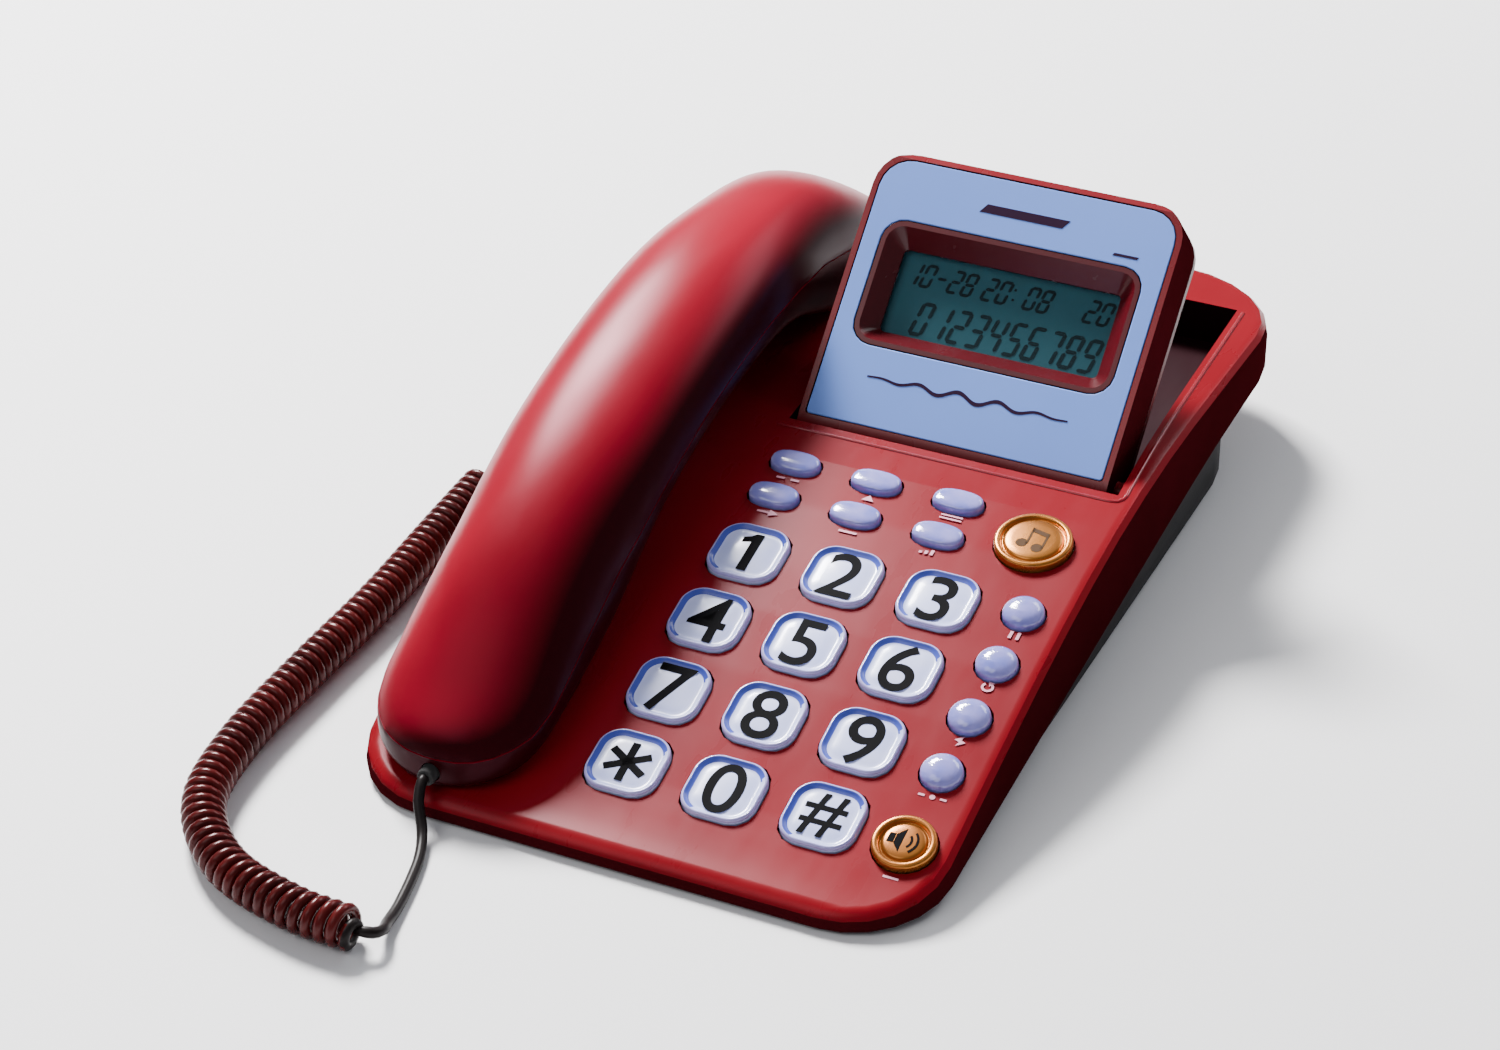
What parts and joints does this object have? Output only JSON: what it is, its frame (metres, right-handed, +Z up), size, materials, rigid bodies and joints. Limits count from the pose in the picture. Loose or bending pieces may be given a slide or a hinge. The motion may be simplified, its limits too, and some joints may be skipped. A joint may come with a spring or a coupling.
{
  "type": "corded desk telephone",
  "caption": "Corded desk telephone: red wedge base with keypad, tilting caller display in a well, and a handset with curly cord lying on its left.",
  "frame": {"origin": "centre of the base's footprint, on the standing surface", "axes": "+X to the user's right across the keypad, +Y from the front edge to the rear, +Z up"},
  "size_m": [0.1538, 0.2733, 0.0737],
  "materials": {
    "red_shell": "glossy moulded ABS with a fine even texture",
    "dark_red": "glossy, darker red",
    "black_tray": "fine matt texture",
    "rubber": "matt",
    "digit_key": "satin periwinkle",
    "pearl_key": "pearly lavender",
    "gold": "metallised gold plastic",
    "blue_plate": "painted, satin",
    "lcd_glass": "clear, teal tinted",
    "lcd_panel": "teal reflective liquid crystal",
    "mat": "silicone rubber",
    "board": "green lacquer",
    "steel": "zinc plated",
    "cord_red": "soft shiny vinyl",
    "cord_black": "soft vinyl",
    "clear_plug": "smoky clear"
  },
  "bodies": {
    "base": {"base_top_shell": "red_shell", "base_bottom_shell": "black_tray", "foot_front_left": "rubber", "foot_front_right": "rubber", "foot_rear_left": "rubber", "foot_rear_right": "rubber", "base_screw_1": "steel", "base_screw_2": "steel", "base_screw_3": "steel", "base_screw_4": "steel", "ringer_speaker": "steel", "keypad_mat": "mat", "keypad_board": "board", "line_jack": "black_tray", "handset_jack": "black_tray", "cord_tail_handset": "cord_black", "cord_coil": "cord_red", "cord_tail_base": "cord_black", "cord_plug": "clear_plug"},
    "display": {"display_housing": "red_shell", "display_back_cover": "dark_red", "display_faceplate": "blue_plate", "lcd_bezel": "red_shell", "lcd_glass": "lcd_glass", "lcd_panel": "lcd_panel"},
    "handset": {"handset_outer_shell": "red_shell", "handset_inner_shell": "red_shell", "handset_screw_1": "steel", "handset_screw_2": "steel", "earpiece_cap": "red_shell", "mouthpiece_cap": "red_shell", "cord_grommet": "rubber"},
    "hook": {"hook_plunger": "black_tray"},
    "key_1": {"key_1": "digit_key"},
    "key_2": {"key_2": "digit_key"},
    "key_3": {"key_3": "digit_key"},
    "key_4": {"key_4": "digit_key"},
    "key_5": {"key_5": "digit_key"},
    "key_6": {"key_6": "digit_key"},
    "key_7": {"key_7": "digit_key"},
    "key_8": {"key_8": "digit_key"},
    "key_9": {"key_9": "digit_key"},
    "key_star": {"key_star": "digit_key"},
    "key_0": {"key_0": "digit_key"},
    "key_hash": {"key_hash": "digit_key"},
    "button_set": {"button_set": "pearl_key"},
    "button_up": {"button_up": "pearl_key"},
    "button_redial_list": {"button_redial_list": "pearl_key"},
    "button_out": {"button_out": "pearl_key"},
    "button_delete": {"button_delete": "pearl_key"},
    "button_volume": {"button_volume": "pearl_key"},
    "button_pause": {"button_pause": "pearl_key"},
    "button_redial": {"button_redial": "pearl_key"},
    "button_flash": {"button_flash": "pearl_key"},
    "button_callback": {"button_callback": "pearl_key"},
    "button_handsfree": {"button_handsfree": "gold"},
    "button_music": {"button_music": "gold"}
  },
  "joints": [
    {"name": "display_tilt", "type": "hinge", "parent": "base", "child": "display", "pos_m": [0.0191, 0.01545, 0.027], "axis": [1, 0, 0], "range_deg": [-43, 17]},
    {"name": "handset_lift", "type": "slide", "parent": "base", "child": "handset", "axis": [0, 0, 1], "range_m": [0, 0.12]},
    {"name": "hook_rise", "type": "slide", "parent": "base", "child": "hook", "axis": [0, 0, 1], "range_m": [0, 0.004]},
    {"name": "key_1_press", "type": "slide", "parent": "base", "child": "key_1", "axis": [0, 0.2198, -0.9755], "range_m": [0, 0.0009], "stiffness_N_per_m": 300, "springref_m": -0.002},
    {"name": "key_2_press", "type": "slide", "parent": "base", "child": "key_2", "axis": [0, 0.2198, -0.9755], "range_m": [0, 0.0009], "stiffness_N_per_m": 300, "springref_m": -0.002},
    {"name": "key_3_press", "type": "slide", "parent": "base", "child": "key_3", "axis": [0, 0.2198, -0.9755], "range_m": [0, 0.0009], "stiffness_N_per_m": 300, "springref_m": -0.002},
    {"name": "key_4_press", "type": "slide", "parent": "base", "child": "key_4", "axis": [0, 0.2572, -0.9664], "range_m": [0, 0.0009], "stiffness_N_per_m": 300, "springref_m": -0.002},
    {"name": "key_5_press", "type": "slide", "parent": "base", "child": "key_5", "axis": [0, 0.2572, -0.9664], "range_m": [0, 0.0009], "stiffness_N_per_m": 300, "springref_m": -0.002},
    {"name": "key_6_press", "type": "slide", "parent": "base", "child": "key_6", "axis": [0, 0.2572, -0.9664], "range_m": [0, 0.0009], "stiffness_N_per_m": 300, "springref_m": -0.002},
    {"name": "key_7_press", "type": "slide", "parent": "base", "child": "key_7", "axis": [0, 0.2803, -0.9599], "range_m": [0, 0.0009], "stiffness_N_per_m": 300, "springref_m": -0.002},
    {"name": "key_8_press", "type": "slide", "parent": "base", "child": "key_8", "axis": [0, 0.2803, -0.9599], "range_m": [0, 0.0009], "stiffness_N_per_m": 300, "springref_m": -0.002},
    {"name": "key_9_press", "type": "slide", "parent": "base", "child": "key_9", "axis": [0, 0.2803, -0.9599], "range_m": [0, 0.0009], "stiffness_N_per_m": 300, "springref_m": -0.002},
    {"name": "key_star_press", "type": "slide", "parent": "base", "child": "key_star", "axis": [0, 0.2667, -0.9638], "range_m": [0, 0.0009], "stiffness_N_per_m": 300, "springref_m": -0.002},
    {"name": "key_0_press", "type": "slide", "parent": "base", "child": "key_0", "axis": [0, 0.2667, -0.9638], "range_m": [0, 0.0009], "stiffness_N_per_m": 300, "springref_m": -0.002},
    {"name": "key_hash_press", "type": "slide", "parent": "base", "child": "key_hash", "axis": [0, 0.2667, -0.9638], "range_m": [0, 0.0009], "stiffness_N_per_m": 300, "springref_m": -0.002},
    {"name": "button_set_press", "type": "slide", "parent": "base", "child": "button_set", "axis": [0, 0.1326, -0.9912], "range_m": [0, 0.0009], "stiffness_N_per_m": 300, "springref_m": -0.002},
    {"name": "button_up_press", "type": "slide", "parent": "base", "child": "button_up", "axis": [0, 0.1326, -0.9912], "range_m": [0, 0.0009], "stiffness_N_per_m": 300, "springref_m": -0.002},
    {"name": "button_redial_list_press", "type": "slide", "parent": "base", "child": "button_redial_list", "axis": [0, 0.1326, -0.9912], "range_m": [0, 0.0009], "stiffness_N_per_m": 300, "springref_m": -0.002},
    {"name": "button_out_press", "type": "slide", "parent": "base", "child": "button_out", "axis": [0, 0.1692, -0.9856], "range_m": [0, 0.0009], "stiffness_N_per_m": 300, "springref_m": -0.002},
    {"name": "button_delete_press", "type": "slide", "parent": "base", "child": "button_delete", "axis": [0, 0.1692, -0.9856], "range_m": [0, 0.0009], "stiffness_N_per_m": 300, "springref_m": -0.002},
    {"name": "button_volume_press", "type": "slide", "parent": "base", "child": "button_volume", "axis": [0, 0.1692, -0.9856], "range_m": [0, 0.0009], "stiffness_N_per_m": 300, "springref_m": -0.002},
    {"name": "button_pause_press", "type": "slide", "parent": "base", "child": "button_pause", "axis": [0, 0.2159, -0.9764], "range_m": [0, 0.0009], "stiffness_N_per_m": 300, "springref_m": -0.002},
    {"name": "button_redial_press", "type": "slide", "parent": "base", "child": "button_redial", "axis": [0, 0.2473, -0.9689], "range_m": [0, 0.0009], "stiffness_N_per_m": 300, "springref_m": -0.002},
    {"name": "button_flash_press", "type": "slide", "parent": "base", "child": "button_flash", "axis": [0, 0.2712, -0.9625], "range_m": [0, 0.0009], "stiffness_N_per_m": 300, "springref_m": -0.002},
    {"name": "button_callback_press", "type": "slide", "parent": "base", "child": "button_callback", "axis": [0, 0.2844, -0.9587], "range_m": [0, 0.0009], "stiffness_N_per_m": 300, "springref_m": -0.002},
    {"name": "button_handsfree_press", "type": "slide", "parent": "base", "child": "button_handsfree", "axis": [0, 0.2651, -0.9642], "range_m": [0, 0.0009], "stiffness_N_per_m": 300, "springref_m": -0.002},
    {"name": "button_music_press", "type": "slide", "parent": "base", "child": "button_music", "axis": [0, 0.157, -0.9876], "range_m": [0, 0.0009], "stiffness_N_per_m": 300, "springref_m": -0.002}
  ],
  "couplings": [
    {"joint": "hook_rise", "follows": "handset_lift", "ratio": 0.0333}
  ]
}
